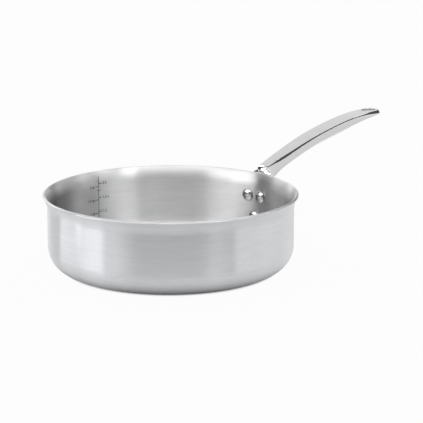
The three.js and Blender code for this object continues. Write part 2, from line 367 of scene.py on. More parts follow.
def extruded(name, outline, low, high):
    """Prism along X from an outline of Y and Z."""
    count = len(outline)
    points = [(low, y, z) for y, z in outline] + [(high, y, z) for y, z in outline]
    faces = [list(range(count))[::-1], list(range(count, 2 * count))]
    for k in range(count):
        n = (k + 1) % count
        faces.append([k, n, count + n, count + k])
    return make(name, points, faces)


def lofted(name, rings, capped=True):
    """Closed skin over rings of equal counts. Without a cap the last ring folds flat on itself."""
    count = len(rings[0])
    points = [p for ring in rings for p in ring]
    first = len(points)
    points.append(np.mean(rings[0], axis=0))
    points.append(np.mean(rings[-1], axis=0))
    last_ring = (len(rings) - 1) * count
    faces = []
    for k in range(count):
        n = (k + 1) % count
        for near in range(0, last_ring, count):
            far = near + count
            faces.append([near + k, far + k, far + n, near + n])
        faces.append([first, k, n])
        if capped:
            faces.append([first + 1, last_ring + n, last_ring + k])
    piece = make(name, points, faces)
    weld = bmesh.new()
    weld.from_mesh(piece.data)
    bmesh.ops.remove_doubles(weld, verts=weld.verts, dist=WELD_DISTANCE)
    loose = [v for v in weld.verts if not v.link_faces]
    bmesh.ops.delete(weld, geom=loose, context="VERTS")
    weld.to_mesh(piece.data)
    weld.free()
    return piece


# Body of three plies

def lip_turn(depth):
    """Angle at which a surface ends at the lip, whose edge is rounded across all three plies."""
    past = abs(depth - WALL_THICKNESS / 2) - (WALL_THICKNESS / 2 - LIP_ROUND)
    share = min(max(past / LIP_ROUND, 0), 1)
    recess = LIP_ROUND * (1 - math.sqrt(1 - share**2))
    return FLARE_ANGLE - recess / (FLARE_RADIUS + depth)


def lip_point(depth, turn):
    """Radius and height on the flare of the lip, a given depth inside the outer skin."""
    reach = FLARE_RADIUS + depth
    return WALL_RADIUS + FLARE_RADIUS - reach * math.cos(turn), FLARE_START + reach * math.sin(turn)


def skin(depth):
    """Profile of one surface, a given depth inside the outer skin, from the axis out to the lip."""
    flat = WALL_RADIUS - CORNER_RADIUS
    points = [(r, depth) for r in np.linspace(0, flat, FLOOR_RINGS)[:-1]]
    points += arc((flat, CORNER_RADIUS), CORNER_RADIUS - depth, -math.pi / 2, 0, CORNER_STEPS)
    heights = np.linspace(CORNER_RADIUS, FLARE_START, WALL_RINGS)[1:-1]
    points += [(WALL_RADIUS - depth, z) for z in heights]
    points += [lip_point(depth, turn) for turn in np.linspace(0, lip_turn(depth), FLARE_RINGS)]
    return points


def rivet_hole(azimuth, height):
    """Cutter for one rivet's shank."""
    inside = INNER_RADIUS - RIVET_TAIL_HEIGHT
    outside = FLANGE_OUTER + RIVET_TAIL_HEIGHT
    radius = RIVET_SHANK_RADIUS + RIVET_HOLE_CLEARANCE
    turns = np.linspace(0, 2 * math.pi, RIVET_HOLE_SIDES + 1)[:-1]
    outline = [(radius * math.cos(t), height + radius * math.sin(t)) for t in turns]
    cutter = extruded("rivet_hole", outline, inside, outside)
    cutter.data.transform(Matrix.Rotation(azimuth, 4, "Z"))
    return cutter


def drilled(piece):
    """Cuts the three rivet holes."""
    for azimuth, height in RIVETS.values():
        combine(piece, rivet_hole(azimuth, height), "DIFFERENCE")
    return piece


def ply(name, depth, thickness):
    """One ply between two depths, with its share of the rounded lip edge."""
    depths = np.linspace(depth, depth + thickness, LIP_RINGS)
    edge = [lip_point(d, lip_turn(d)) for d in depths]
    return drilled(turned(name, skin(depth)[:-1] + edge + skin(depth + thickness)[-2::-1]))


# Handle

def bezier(points, share):
    """Point on a cubic curve."""
    a, b, c, d = [np.array(p) for p in points]
    u = 1 - share
    return u**3 * a + 3 * u**2 * share * b + 3 * u * share**2 * c + share**3 * d


def between(first, second, share):
    """Point a share of the way from the first to the second."""
    return first * (1 - share) + second * share


def slope(degrees, length):
    """Step of a given length at an angle above level."""
    angle = math.radians(degrees)
    return length * np.array((math.cos(angle), math.sin(angle)))


TOP_START = np.array((RIM_RADIUS + NECK_STANDOFF + GRIP_EDGE_RADIUS, BODY_HEIGHT + NECK_RISE))
TOP_END = np.array((TIP_RADIUS - TAIL_WIDTH / 2, BODY_HEIGHT + HANDLE_RISE))
TOP_REACH = (TOP_END[0] - TOP_START[0]) / 3
TOP_LINE = (
    TOP_START,
    TOP_START + slope(GRIP_FRONT_ANGLE, TOP_REACH),
    TOP_END - slope(TAIL_ANGLE, TOP_REACH),
    TOP_END,
)
NECK_FOOT = np.array((FLANGE_OUTER - FLANGE_THICKNESS / 2, FLARE_START - RIVET_WEB_CLEARANCE))
NECK_UNDER_LIP = np.array(
    (RIM_RADIUS + NECK_STANDOFF - LIP_OUTSET / 4, FLARE_START + LIP_FLARE_HEIGHT / 2)
)
NECK_SHOULDER = np.array((RIM_RADIUS + NECK_STANDOFF, BODY_HEIGHT))
NECK_FRONT = TOP_START - slope(GRIP_FRONT_ANGLE + 45, GRIP_EDGE_RADIUS)


def bend(points, radius, start, end, steps):
    """Carries a section on along an arc. Turns are from straight up, in radians."""
    side, depth = points[-1]
    for t in np.linspace(start, end, steps + 1)[1:]:
        out = side + radius * (math.sin(t) - math.sin(start))
        points.append((out, depth + radius * (math.cos(start) - math.cos(t))))


def half_section(half_width, depth, bevel, turn, edge, lean, boxiness):
    """Half of a section as side and depth: crowned top, bevel, side face, chine, keel."""
    turn = math.radians(turn)
    lean = math.radians(lean)
    rounding = [(0, 0)]
    bend(rounding, edge * BEVEL_TOP_EASE, 0, turn, BEVEL_TOP_STEPS)
    across = np.array((math.cos(turn), math.sin(turn)))
    begin = np.array(rounding[-1])
    rounding += [tuple(begin + across * bevel * t) for t in shares(BEVEL_STEPS)[1:]]
    bend(rounding, edge, turn, math.pi / 2 + lean, EDGE_STEPS)
    flat = half_width - max(out for out, _ in rounding)
    rounding = [(flat + out, GRIP_CROWN + down) for out, down in rounding]
    side = np.array(rounding[-1])
    fall = (depth - side[1]) * (CHINE_DEPTH + CHINE_DEPTH_BOXY * boxiness)
    chine = side + fall * np.array((-math.tan(lean), 1))
    ease = min(CHINE_EASE, fall * CHINE_EASE_MOST)
    above = chine + ease * np.array((math.sin(lean), -math.cos(lean)))
    keel = np.array((chine[0] * (KEEL_WIDTH + KEEL_WIDTH_BOXY * boxiness), depth))
    toward = keel - chine
    below = chine + ease * toward / np.linalg.norm(toward)
    tops = np.linspace(0, flat, CROWN_STEPS + 1)[:-1]
    crown = [(x, GRIP_CROWN * (x / flat) ** 2) for x in tops]
    face = [tuple(side + (above - side) * t) for t in shares(FACE_STEPS)[1:-1]]
    corner = []
    for t in shares(CHINE_STEPS):
        corner.append(tuple((1 - t) ** 2 * above + 2 * t * (1 - t) * chine + t**2 * below))
    slant = below + (keel - below) * KEEL_SLANT
    under = (below, slant, (keel[0] * KEEL_ROUND, depth), (0, depth))
    hull = [tuple(bezier(under, t)) for t in shares(KEEL_STEPS)[1:]]
    return crown + rounding + face + corner + hull


def whole_section(*form):
    """Both halves of a section, as one ring."""
    half = half_section(*form)
    return half + [(-x, d) for x, d in half[-2:0:-1]]


def section_ring(top, belly, half_width, *form):
    """Whole section in the plane through its top point, its belly point and the Y direction."""
    down = belly - top
    depth = np.linalg.norm(down)
    down = down / depth
    whole = whole_section(half_width, depth, *form)
    return [(top[0] + down[0] * d, x, top[1] + down[1] * d) for x, d in whole]


def through(stations, share, tension=None):
    """Smooth line through the stations, with knots spaced by distance unless a tension is given."""
    spot = share * (len(stations) - 1)
    near = min(int(spot), len(stations) - 2)
    t = spot - near
    p1, p2 = stations[near], stations[near + 1]
    p0 = stations[near - 1] if near > 0 else 2 * p1 - p2
    p3 = stations[near + 2] if near + 2 < len(stations) else 2 * p2 - p1
    if tension is None:
        spans = ((p0, p1), (p1, p2), (p2, p3))
        d0, d1, d2 = [max(np.linalg.norm(b - a) ** 0.5, KNOT_GAP) for a, b in spans]
        m1 = d1 * ((p1 - p0) / d0 - (p2 - p0) / (d0 + d1) + (p2 - p1) / d1)
        m2 = d1 * ((p2 - p1) / d1 - (p3 - p1) / (d1 + d2) + (p3 - p2) / d2)
    else:
        m1 = tension * (p2 - p0)
        m2 = tension * (p3 - p1)
    return (
        (2 * t**3 - 3 * t**2 + 1) * p1
        + (t**3 - 2 * t**2 + t) * m1
        + (3 * t**2 - 2 * t**3) * p2
        + (t**3 - t**2) * m2
    )


def station_rings(stations, rings_per_station):
    """Rings through a row of stations, each a top, a belly, a half width and an edge form."""
    tops = [np.array(s[0]) for s in stations]
    bellies = [np.array(s[1]) for s in stations]
    forms = [np.array(s[2:], dtype=float) for s in stations]
    rings = []
    for share in shares(rings_per_station * (len(stations) - 1)):
        form = through(forms, share, FORM_TENSION)
        form[-1] = min(max(form[-1], 0), 1)
        rings.append(section_ring(through(tops, share), through(bellies, share), *form))
    return rings


def grip_station(place, width, depth, *form):
    """Station at a place along the top line."""
    top = bezier(TOP_LINE, place)
    return top, top - np.array((0, depth)), width / 2, *form


def grip_solid():
    """Web, neck and grip, from the flange to the rounded tail."""
    web_half_width = RIVET_SPACING / 2 - RIVET_TAIL_RADIUS - RIVET_WEB_CLEARANCE
    web_foot = RIVET_LOWER + RIVET_TAIL_RADIUS + RIVET_WEB_CLEARANCE
    throat = np.array((RIM_RADIUS + NECK_REACH, BODY_HEIGHT - NECK_DROP))
    front = grip_station(*GRIP_FRONT, *FRONT_FORM)
    under_lip_reach = between(FLANGE_OUTER, throat[0], UNDER_LIP_SHARE)
    under_lip = np.array((under_lip_reach, (web_foot + throat[1]) / 2))
    neck_top = bezier(TOP_LINE, GRIP_FRONT[0] / 4)
    neck_top_belly = between(throat, front[1], NECK_TOP_SHARE)
    brow = bezier(TOP_LINE, BROW)
    brow_belly = between(throat, front[1], BROW_SHARE)
    stations = [
        (NECK_FOOT, np.array((NECK_FOOT[0], web_foot)), web_half_width, *SQUARE_FORM),
        (NECK_UNDER_LIP, under_lip, web_half_width, *UNDER_LIP_FORM),
        (NECK_FRONT, throat, NECK_WAIST / 2, *NECK_FRONT_FORM),
        (brow, brow_belly, NECK_WAIST / 2 + BROW_SPREAD, *BROW_FORM),
        (neck_top, neck_top_belly, NECK_WIDTH / 2, *NECK_TOP_FORM),
        front,
        grip_station(*GRIP_MIDDLE, *MIDDLE_FORM),
        grip_station(*GRIP_REAR, *REAR_FORM),
        grip_station(*GRIP_TAB, *TAB_FORM),
        grip_station(1, TAIL_WIDTH, TAIL_THICKNESS, *TAIL_FORM),
    ]
    rings = station_rings(stations, RINGS_PER_STATION)
    rise = math.tan(math.radians(TAIL_ANGLE))
    tail = whole_section(TAIL_WIDTH / 2, TAIL_THICKNESS, *TAIL_FORM)
    for turn in np.linspace(0, math.pi / 2, TAIL_RINGS + 1)[1:]:
        reach = TAIL_FOLD * math.sin(turn)
        ring = []
        for x, d in tail:
            out = abs(x) * reach
            ring.append((TOP_END[0] + out, x * math.cos(turn), TOP_END[1] - d + out * rise))
        rings.append(ring)
    return lofted("handle", rings, False)


def shoulder_solid():
    """Apron that rises from the flange, round the lip, to the top face."""
    foot_width = RIVET_SPACING + 2 * RIVET_TAIL_RADIUS
    middle_width = (foot_width + SHOULDER_WIDTH) / 2
    tops = (NECK_FOOT, NECK_UNDER_LIP, NECK_SHOULDER, NECK_FRONT)
    widths = (foot_width, middle_width, SHOULDER_WIDTH, NECK_WAIST)
    stations = []
    for top, lean, width in zip(tops, SHOULDER_LEANS, widths):
        belly = top + slope(lean, SHOULDER_THICKNESS)
        stations.append((top, belly, width / 2, *SQUARE_FORM))
    return lofted("shoulder", station_rings(stations, SHOULDER_RINGS))


def flange_solid():
    """Shield that holds the three rivets, bent to the wall."""
    half = FLANGE_OUTER * math.sin(RIVET_AZIMUTH)
    side = math.atan2(RIVET_PITCH, half) - math.pi / 2
    outline = []
    for middle, start, end, steps in (
        ((0, RIVET_LOWER), math.pi - side, 2 * math.pi + side, FLANGE_FOOT_STEPS),
        ((half, RIVET_UPPER), side, math.pi / 2, FLANGE_TOP_STEPS),
        ((-half, RIVET_UPPER), math.pi / 2, math.pi - side, FLANGE_TOP_STEPS),
    ):
        outline += arc(middle, FLANGE_MARGIN, start, end, steps)
    shield = extruded("flange", outline, 0, 2 * FLANGE_OUTER)
    low = RIVET_LOWER - 2 * FLANGE_MARGIN
    high = RIVET_UPPER + 2 * FLANGE_MARGIN
    band = [(FLANGE_INNER, low), (FLANGE_OUTER, low), (FLANGE_OUTER, high), (FLANGE_INNER, high)]
    return combine(shield, turned("band", band, FINE_SEGMENTS), "INTERSECT")


def body_clearance():
    """Space of the body, kept clear of the handle."""
    above = BODY_HEIGHT + HANDLE_RISE
    profile = skin(-FLANGE_CLEARANCE) + [(RIM_RADIUS + FLANGE_CLEARANCE, above), (0, above)]
    return turned("clearance", profile, FINE_SEGMENTS)


def hang_hole(piece):
    """Cutter for the oval hole in the tail, flared to round both its mouths."""
    tree = BVHTree.FromObject(piece, bpy.context.evaluated_depsgraph_get())
    centre = TIP_RADIUS - HANG_HOLE_END_WALL - HANG_HOLE_LENGTH / 2
    rings = []
    flares = np.linspace(0, math.pi / 2, HANG_HOLE_EASE_STEPS + 1)
    ease = HANG_HOLE_EASE
    spread = [(ease * (1 - math.cos(f)), ease * (1 - math.sin(f))) for f in flares]
    for k in range(HANG_HOLE_SIDES):
        turn = 2 * math.pi * k / HANG_HOLE_SIDES
        x = centre + HANG_HOLE_LENGTH / 2 * math.cos(turn)
        y = HANG_HOLE_WIDTH / 2 * math.sin(turn)
        above = Vector((x * MM, y * MM, HOLE_RAY_TOP))
        below = Vector((x * MM, y * MM, 0))
        top = tree.ray_cast(above, Vector((0, 0, -1)))[0].z / MM
        low = tree.ray_cast(below, Vector((0, 0, 1)))[0].z / MM
        out = Vector((math.cos(turn) / HANG_HOLE_LENGTH, math.sin(turn) / HANG_HOLE_WIDTH))
        out.normalize()
        column = [(2 * ease, low - 2 * ease)]
        column += [(wide, low + deep) for wide, deep in reversed(spread)]
        column += [(wide, top - deep) for wide, deep in spread]
        column += [(2 * ease, top + 2 * ease)]
        rings.append([(x + out.x * wide, y + out.y * wide, z) for wide, z in column])
    return lofted("hang_hole", [list(ring) for ring in zip(*rings)][::-1])


def cast_fillets(casting):
    """Softened copy of the neck and flange with the apron, which gives the casting its fillets."""
    copy = casting.copy()
    copy.data = casting.data.copy()
    bpy.context.scene.collection.objects.link(copy)
    combine(copy, shoulder_solid(), "UNION")
    wide = FILLET_HALF_WIDTH
    outline = [(-wide, 0), (wide, 0), (wide, FILLET_TOP), (-wide, FILLET_TOP)]
    combine(copy, extruded("fillet_end", outline, FILLET_START, FILLET_END), "INTERSECT")
    remesh = copy.modifiers.new("remesh", "REMESH")
    remesh.mode = "VOXEL"
    remesh.voxel_size = FILLET_VOXEL * MM
    apply_modifiers(copy)
    mesh = copy.data
    points = np.empty(len(mesh.vertices) * 3)
    mesh.vertices.foreach_get("co", points)
    points = points.reshape(-1, 3)
    edges = np.empty(len(mesh.edges) * 2, dtype=np.int32)
    mesh.edges.foreach_get("vertices", edges)
    first, second = edges.reshape(-1, 2).T
    links = np.bincount(edges, minlength=len(points))[:, None]
    for _ in range(FILLET_PASSES):
        total = np.zeros_like(points)
        np.add.at(total, first, points[second])
        np.add.at(total, second, points[first])
        points = points + FILLET_STEP * (total / links - points)
    mesh.vertices.foreach_set("co", points.ravel())
    mesh.update()
    normals = np.empty(len(mesh.vertices) * 3)
    mesh.vertices.foreach_get("normal", normals)
    points = points - normals.reshape(-1, 3) * FILLET_INSET * MM
    mesh.vertices.foreach_set("co", points.ravel())
    mesh.update()
    return copy


def handle_piece():
    """One casting, with cast fillets where its forms meet."""
    casting = grip_solid()
    combine(casting, flange_solid(), "UNION")
    combine(casting, cast_fillets(casting), "UNION")
    combine(casting, body_clearance(), "DIFFERENCE")
    drilled(casting)
    combine(casting, hang_hole(casting), "DIFFERENCE")
    casting.name = "handle_piece"
    return casting


# Rivets

def rivet_piece(name):
    """Domed head inside the pan, shank through wall and flange, upset end outside."""
    azimuth, height = RIVETS[name]
    head_gap = INNER_RADIUS - math.sqrt(INNER_RADIUS**2 - RIVET_HEAD_RADIUS**2)
    head_seat = INNER_RADIUS - head_gap - RIVET_SEAT_CLEARANCE
    tail_seat = FLANGE_OUTER + RIVET_SEAT_CLEARANCE
    dome_height = RIVET_HEAD_HEIGHT - RIVET_HEAD_EDGE
    profile = []
    for turn in np.linspace(-math.pi / 2, 0, RIVET_DOME_RINGS):
        radius = RIVET_HEAD_RADIUS * math.cos(turn)
        profile.append((radius, head_seat - RIVET_HEAD_EDGE + dome_height * math.sin(turn)))
    for turn in np.linspace(0, math.pi / 2, RIVET_EDGE_RINGS)[1:]:
        inset = RIVET_HEAD_UNDERCUT * (1 - math.cos(turn))
        rise = RIVET_HEAD_EDGE * (1 - math.sin(turn))
        profile.append((RIVET_HEAD_RADIUS - inset, head_seat - rise))
    profile += [(RIVET_SHANK_RADIUS, head_seat), (RIVET_SHANK_RADIUS, tail_seat)]
    for turn in np.linspace(0, math.pi / 2, RIVET_TAIL_RINGS):
        radius = RIVET_TAIL_RADIUS * math.cos(turn)
        profile.append((radius, tail_seat + RIVET_TAIL_HEIGHT * math.sin(turn)))
    profile[0] = (0, profile[0][1])
    profile[-1] = (0, profile[-1][1])
    piece = turned(name + "_piece", profile, RIVET_SEGMENTS)
    place = Matrix.Rotation(azimuth, 4, "Z") @ Matrix.Translation((0, 0, height * MM))
    piece.data.transform(place @ Matrix.Rotation(math.pi / 2, 4, "Y"))
    return piece


# Materials

def plug(tree, socket, value):
    """Links a socket, or sets its constant value."""
    if isinstance(value, bpy.types.NodeSocket):
        tree.links.new(value, socket)
    else:
        socket.default_value = value


def node(tree, kind, operation=None, **inputs):
    """New node, with its inputs plugged by name or by number, as i0, i1 and i2."""
    made = tree.nodes.new(kind)
    if operation:
        made.operation = operation
    for key, value in inputs.items():
        index = int(key[1:]) if key[0] == "i" and key[1:].isdigit() else key
        plug(tree, made.inputs[index], value)
    return made


def new_material(name):
    """Material with the usual shader, and its node tree."""
    material = bpy.data.materials.new(name)
    material.use_nodes = True
    return material, material.node_tree


def new_metal(name, base, roughness):
    """Metal with its constant values on the shader's own sockets."""
    material, tree = new_material(name)
    metal = tree.nodes["Principled BSDF"]
    metal.inputs["Base Color"].default_value = (*base, 1)
    metal.inputs["Metallic"].default_value = 1
    metal.inputs["Roughness"].default_value = roughness
    return material, tree, metal


def streaks(tree, fine, length):
    """Noise drawn out round the vertical axis, as brushing leaves it, on wall and floor alike."""
    place = node(tree, "ShaderNodeTexCoord").outputs["Object"]
    x, y, z = node(tree, "ShaderNodeSeparateXYZ", i0=place).outputs
    flat = node(tree, "ShaderNodeCombineXYZ", i0=x, i1=y).outputs[0]
    radius = node(tree, "ShaderNodeVectorMath", "LENGTH", i0=flat).outputs["Value"]
    around = node(tree, "ShaderNodeVectorMath", "NORMALIZE", i0=flat).outputs["Vector"]
    around = node(tree, "ShaderNodeVectorMath", "SCALE", i0=around, Scale=length).outputs["Vector"]
    rise = node(tree, "ShaderNodeMath", "MULTIPLY", i0=z, i1=fine).outputs[0]
    lift = node(tree, "ShaderNodeCombineXYZ", i2=rise).outputs[0]
    vector = node(tree, "ShaderNodeVectorMath", "ADD", i0=around, i1=lift).outputs[0]
    shift = node(tree, "ShaderNodeMath", "MULTIPLY", i0=radius, i1=fine).outputs[0]
    noise = tree.nodes.new("ShaderNodeTexNoise")
    noise.noise_dimensions = "4D"
    tree.links.new(vector, noise.inputs["Vector"])
    tree.links.new(shift, noise.inputs["W"])
    noise.inputs["Scale"].default_value = 1
    noise.inputs["Detail"].default_value = STREAK_DETAIL
    noise.inputs["Roughness"].default_value = STREAK_ROUGHNESS
    return noise.outputs["Fac"]


def clouds(tree, scale, detail):
    """Even noise over the piece."""
    place = node(tree, "ShaderNodeTexCoord").outputs["Object"]
    noise = node(tree, "ShaderNodeTexNoise", Vector=place, Scale=scale, Detail=detail)
    return noise.outputs["Fac"]


def ranged(tree, value, start, end, low, high, interpolation="LINEAR"):
    """Value carried from one range over to another, and held at both ends."""
    made = node(tree, "ShaderNodeMapRange", Value=value)
    made.interpolation_type = interpolation
    made.inputs["From Min"].default_value = start
    made.inputs["From Max"].default_value = end
    made.inputs["To Min"].default_value = low
    made.inputs["To Max"].default_value = high
    return made.outputs["Result"]


def blended(tree, kind, share, first, second):
    """Mix of two colours or of two values, each a link or a constant."""
    first_input, second_input, result = MIX_SOCKETS[kind]
    mix = tree.nodes.new("ShaderNodeMix")
    mix.data_type = kind
    tree.links.new(share, mix.inputs["Factor"])
    plug(tree, mix.inputs[first_input], first)
    plug(tree, mix.inputs[second_input], second)
    return mix.outputs[result]


def tinted(tree, noise, dark, light):
    """Noise turned into a range of colours."""
    share = ranged(tree, noise, *NOISE_RANGE, 0, 1)
    return blended(tree, "RGBA", share, (*dark, 1), (*light, 1))


def brushed(name, dark, light, roughness, anisotropy):
    """Satin steel, brushed round the vertical axis."""
    material, tree, metal = new_metal(name, light, roughness)
    coarse = streaks(tree, *COARSE_BRUSHING)
    fine = streaks(tree, *FINE_BRUSHING)
    tree.links.new(tinted(tree, coarse, dark, light), metal.inputs["Base Color"])
    least = roughness - BRUSH_ROUGHNESS_SPREAD
    most = roughness + BRUSH_ROUGHNESS_SPREAD
    tree.links.new(ranged(tree, fine, *NOISE_RANGE, least, most), metal.inputs["Roughness"])
    bump = node(tree, "ShaderNodeBump", Strength=BRUSH_BUMP, Distance=BRUSH_DEPTH, Height=fine)
    tree.links.new(bump.outputs["Normal"], metal.inputs["Normal"])
    tangent = tree.nodes.new("ShaderNodeTangent")
    tangent.direction_type = "RADIAL"
    tangent.axis = "Z"
    tree.links.new(tangent.outputs["Tangent"], metal.inputs["Tangent"])
    metal.inputs["Anisotropic"].default_value = anisotropy
    metal.inputs["Anisotropic Rotation"].default_value = BRUSH_TURN
    return material


def polished(name, dark, light, roughness, satin=None):
    """Metal polished a little unevenly. Where it faces down it gets a real satin roughness and a
    darker colour, which is painted shade.
    """
    material, tree, metal = new_metal(name, light, roughness)
    colour = tinted(tree, clouds(tree, *POLISH_CLOUD), dark, light)
    least, most = [roughness * share for share in HAZE_SHARES]
    rough = ranged(tree, clouds(tree, *POLISH_HAZE), *NOISE_RANGE, least, most)
    if satin:
        painted_underside_shade, satin_roughness = satin
        facing = node(tree, "ShaderNodeTexCoord").outputs["Normal"]
        upward = node(tree, "ShaderNodeSeparateXYZ", i0=facing).outputs[2]
        under = ranged(tree, upward, *SATIN_AND_SHADE_RANGE, 0, 1)
        # Where the piece faces down its colour turns darker: painted shade on the underside. The
        # higher roughness there is a real satin finish.
        colour = blended(tree, "RGBA", under, colour, (*painted_underside_shade, 1))
        rough = blended(tree, "FLOAT", under, rough, satin_roughness)
    tree.links.new(colour, metal.inputs["Base Color"])
    tree.links.new(rough, metal.inputs["Roughness"])
    return material


def printed(name, dark, light):
    """Dark print, a little worn."""
    material, tree = new_material(name)
    ink = tree.nodes["Principled BSDF"]
    wear = clouds(tree, *PRINT_WEAR)
    tree.links.new(tinted(tree, wear, dark, light), ink.inputs["Base Color"])
    rough = ranged(tree, wear, *NOISE_RANGE, *PRINT_ROUGHNESS)
    tree.links.new(rough, ink.inputs["Roughness"])
    return material


outer_steel = brushed(
    "outer_steel_satin",
    dark=(0.623, 0.629, 0.648),
    light=(0.673, 0.679, 0.698),
    roughness=0.30,
    anisotropy=1.0,
)
inner_steel = brushed(
    "inner_steel_satin",
    dark=(0.626, 0.627, 0.631),
    light=(0.681, 0.682, 0.686),
    roughness=0.34,
    anisotropy=1.0,
)
core_metal = brushed(
    "core_aluminium_cut",
    dark=(0.50, 0.50, 0.51),
    light=(0.58, 0.58, 0.59),
    roughness=0.38,
    anisotropy=0.3,
)
cast_steel = polished(
    "cast_steel_polished",
    dark=(0.73, 0.73, 0.74),
    light=(0.77, 0.77, 0.78),
    roughness=0.06,
    # Darker colour on the downward faces (painted shade), and the satin roughness there
    satin=((0.62, 0.62, 0.63), 0.2),
)
rivet_steel = polished(
    "rivet_steel_mirror",
    dark=(0.60, 0.60, 0.60),
    light=(0.64, 0.64, 0.64),
    roughness=0.045,
)
scale_print = printed("scale_print", dark=(0.02, 0.02, 0.022), light=(0.07, 0.07, 0.075))


# Pieces

def finish_piece(piece, node_name, material, crease):
    """Gives a piece its material and shading, and its place in the shared frame."""
    piece.data.materials.clear()
    piece.data.materials.append(material)
    smooth(piece, crease)
    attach(piece, "root")
    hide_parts(node_name)


outer = ply("outer_ply_piece", 0, OUTER_PLY)
finish_piece(outer, "outer_ply", outer_steel, BODY_CREASE)
core = ply("core_ply_piece", OUTER_PLY, CORE_PLY)
finish_piece(core, "core_ply", core_metal, BODY_CREASE)
inner = ply("inner_ply_piece", OUTER_PLY + CORE_PLY, INNER_PLY)
finish_piece(inner, "inner_ply", inner_steel, BODY_CREASE)
finish_piece(handle_piece(), "handle", cast_steel, HANDLE_CREASE)
for rivet_name in RIVETS:
    rivet = rivet_piece(rivet_name)
    finish_piece(rivet, rivet_name, rivet_steel, BODY_CREASE)


# Volume scale inside the wall

def fill_height(litres):
    """Height in millimetres to which that many litres fill the pan."""
    corner = CORNER_RADIUS - WALL_THICKNESS
    middle = INNER_RADIUS - CORNER_CENTROID * corner
    lost = (1 - math.pi / 4) * corner**2 * 2 * math.pi * middle
    return WALL_THICKNESS + (litres * CUBIC_MM_PER_LITRE + lost) / (math.pi * INNER_RADIUS**2)


def marks(bars):
    """One sheet over bars on the wall, each given by its ends along the wall and up it."""
    columns = list(np.linspace(-TICK_LENGTH, TICK_LENGTH, MARK_STEPS + 1))
    columns += [x for bar in bars for x in bar[:2]]
    columns = sorted({round(x, MARK_DIGITS) for x in columns})
    rows = sorted({round(z, MARK_DIGITS) for bar in bars for z in bar[2:]})
    points = {}
    faces = []
    for x0, x1 in zip(columns, columns[1:]):
        for z0, z1 in zip(rows, rows[1:]):
            x = (x0 + x1) / 2
            z = (z0 + z1) / 2
            if any(left < x < right and low < z < high for left, right, low, high in bars):
                corners = ((x0, z0), (x1, z0), (x1, z1), (x0, z1))
                faces.append([points.setdefault(corner, len(points)) for corner in corners])
    return list(points), faces


def label(text, x, z, align):
    """Plain lettering, flat, with its middle at the height z."""
    curve = bpy.data.curves.new("label", "FONT")
    curve.body = text
    curve.size = LABEL_SIZE
    curve.offset = LABEL_BOLDNESS
    curve.align_x = align
    curve.align_y = "CENTER"
    letters = bpy.data.objects.new("label", curve)
    bpy.context.scene.collection.objects.link(letters)
    graph = bpy.context.evaluated_depsgraph_get()
    mesh = bpy.data.meshes.new_from_object(letters.evaluated_get(graph))
    points = [(v.co.x + x, v.co.y + z) for v in mesh.vertices]
    faces = [list(f.vertices) for f in mesh.polygons]
    bpy.data.objects.remove(letters)
    bpy.data.meshes.remove(mesh)
    return points, faces


def volume_scale():
    """Litres to one side of a line and quarts to the other, printed on the wall."""
    parts = []
    half = SCALE_LINE / 2
    bars = [(-half, half, fill_height(SCALE_FOOT), SCALE_TOP)]
    for side, litres, sign, align in SCALE_UNITS:
        start, end = sorted((0, side * TICK_LENGTH))
        for volume in SCALE_VOLUMES:
            z = fill_height(volume * litres)
            bars.append((start, end, z - half, z + half))
            parts.append(label(f"{volume} {sign}", side * (TICK_LENGTH + LABEL_GAP), z, align))
    z = fill_height(SCALE_SHORT_MARK)
    bars.append((-TICK_LENGTH / 2, TICK_LENGTH / 2, z - half, z + half))
    parts.append(marks(bars))
    points = []
    faces = []
    radius = INNER_RADIUS - SCALE_PROUD
    for part_points, part_faces in parts:
        first = len(points)
        for x, z in part_points:
            turn = math.radians(SCALE_BEARING) - x / INNER_RADIUS
            points.append((radius * math.cos(turn), radius * math.sin(turn), z))
        faces += [[first + k for k in face] for face in part_faces]
    piece = make("volume_scale", points, faces)
    thick = piece.modifiers.new("thick", "SOLIDIFY")
    thick.thickness = SCALE_PROUD * MM
    thick.offset = -1
    apply_modifiers(piece)
    return piece


scale = volume_scale()
scale.data.materials.clear()
scale.data.materials.append(scale_print)
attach(scale, "root")


# Camera

camera = bpy.data.objects.new("camera", bpy.data.cameras.new("camera"))
bpy.context.scene.collection.objects.link(camera)
camera.location = CAMERA_PLACE
camera_sight = Vector(CAMERA_AIM) - camera.location
camera.rotation_euler = camera_sight.to_track_quat("-Z", "Y").to_euler()
camera.data.lens = CAMERA_LENS
camera.data.sensor_width = CAMERA_SENSOR
camera.data.clip_end = CAMERA_CLIP
bpy.context.scene.camera = camera


# Studio: white surroundings, a pale floor, and panels that only the metal sees

def glow(name, level, fade):
    """Panel material: a plain level of white, faded towards the edges by its own coordinates."""
    material, tree = new_material(name)
    tree.nodes.clear()
    output = tree.nodes.new("ShaderNodeOutputMaterial")
    light = node(tree, "ShaderNodeEmission", Color=(1, 1, 1, 1), Strength=level)
    place = node(tree, "ShaderNodeUVMap").outputs["UV"]
    across = node(tree, "ShaderNodeSeparateXYZ", i0=place).outputs
    covers = []
    for side, width in zip(across, fade):
        centred = node(tree, "ShaderNodeMath", "SUBTRACT", i0=side, i1=0.5).outputs[0]
        away = node(tree, "ShaderNodeMath", "ABSOLUTE", i0=centred).outputs[0]
        covers.append(ranged(tree, away, 0.5 - width, 0.5, 1, 0, "SMOOTHSTEP"))
    cover = node(tree, "ShaderNodeMath", "MULTIPLY", i0=covers[0], i1=covers[1]).outputs[0]
    clear = tree.nodes.new("ShaderNodeBsdfTransparent")
    mix = node(tree, "ShaderNodeMixShader", i0=cover, i1=clear.outputs[0], i2=light.outputs[0])
    tree.links.new(mix.outputs[0], output.inputs["Surface"])
    return material


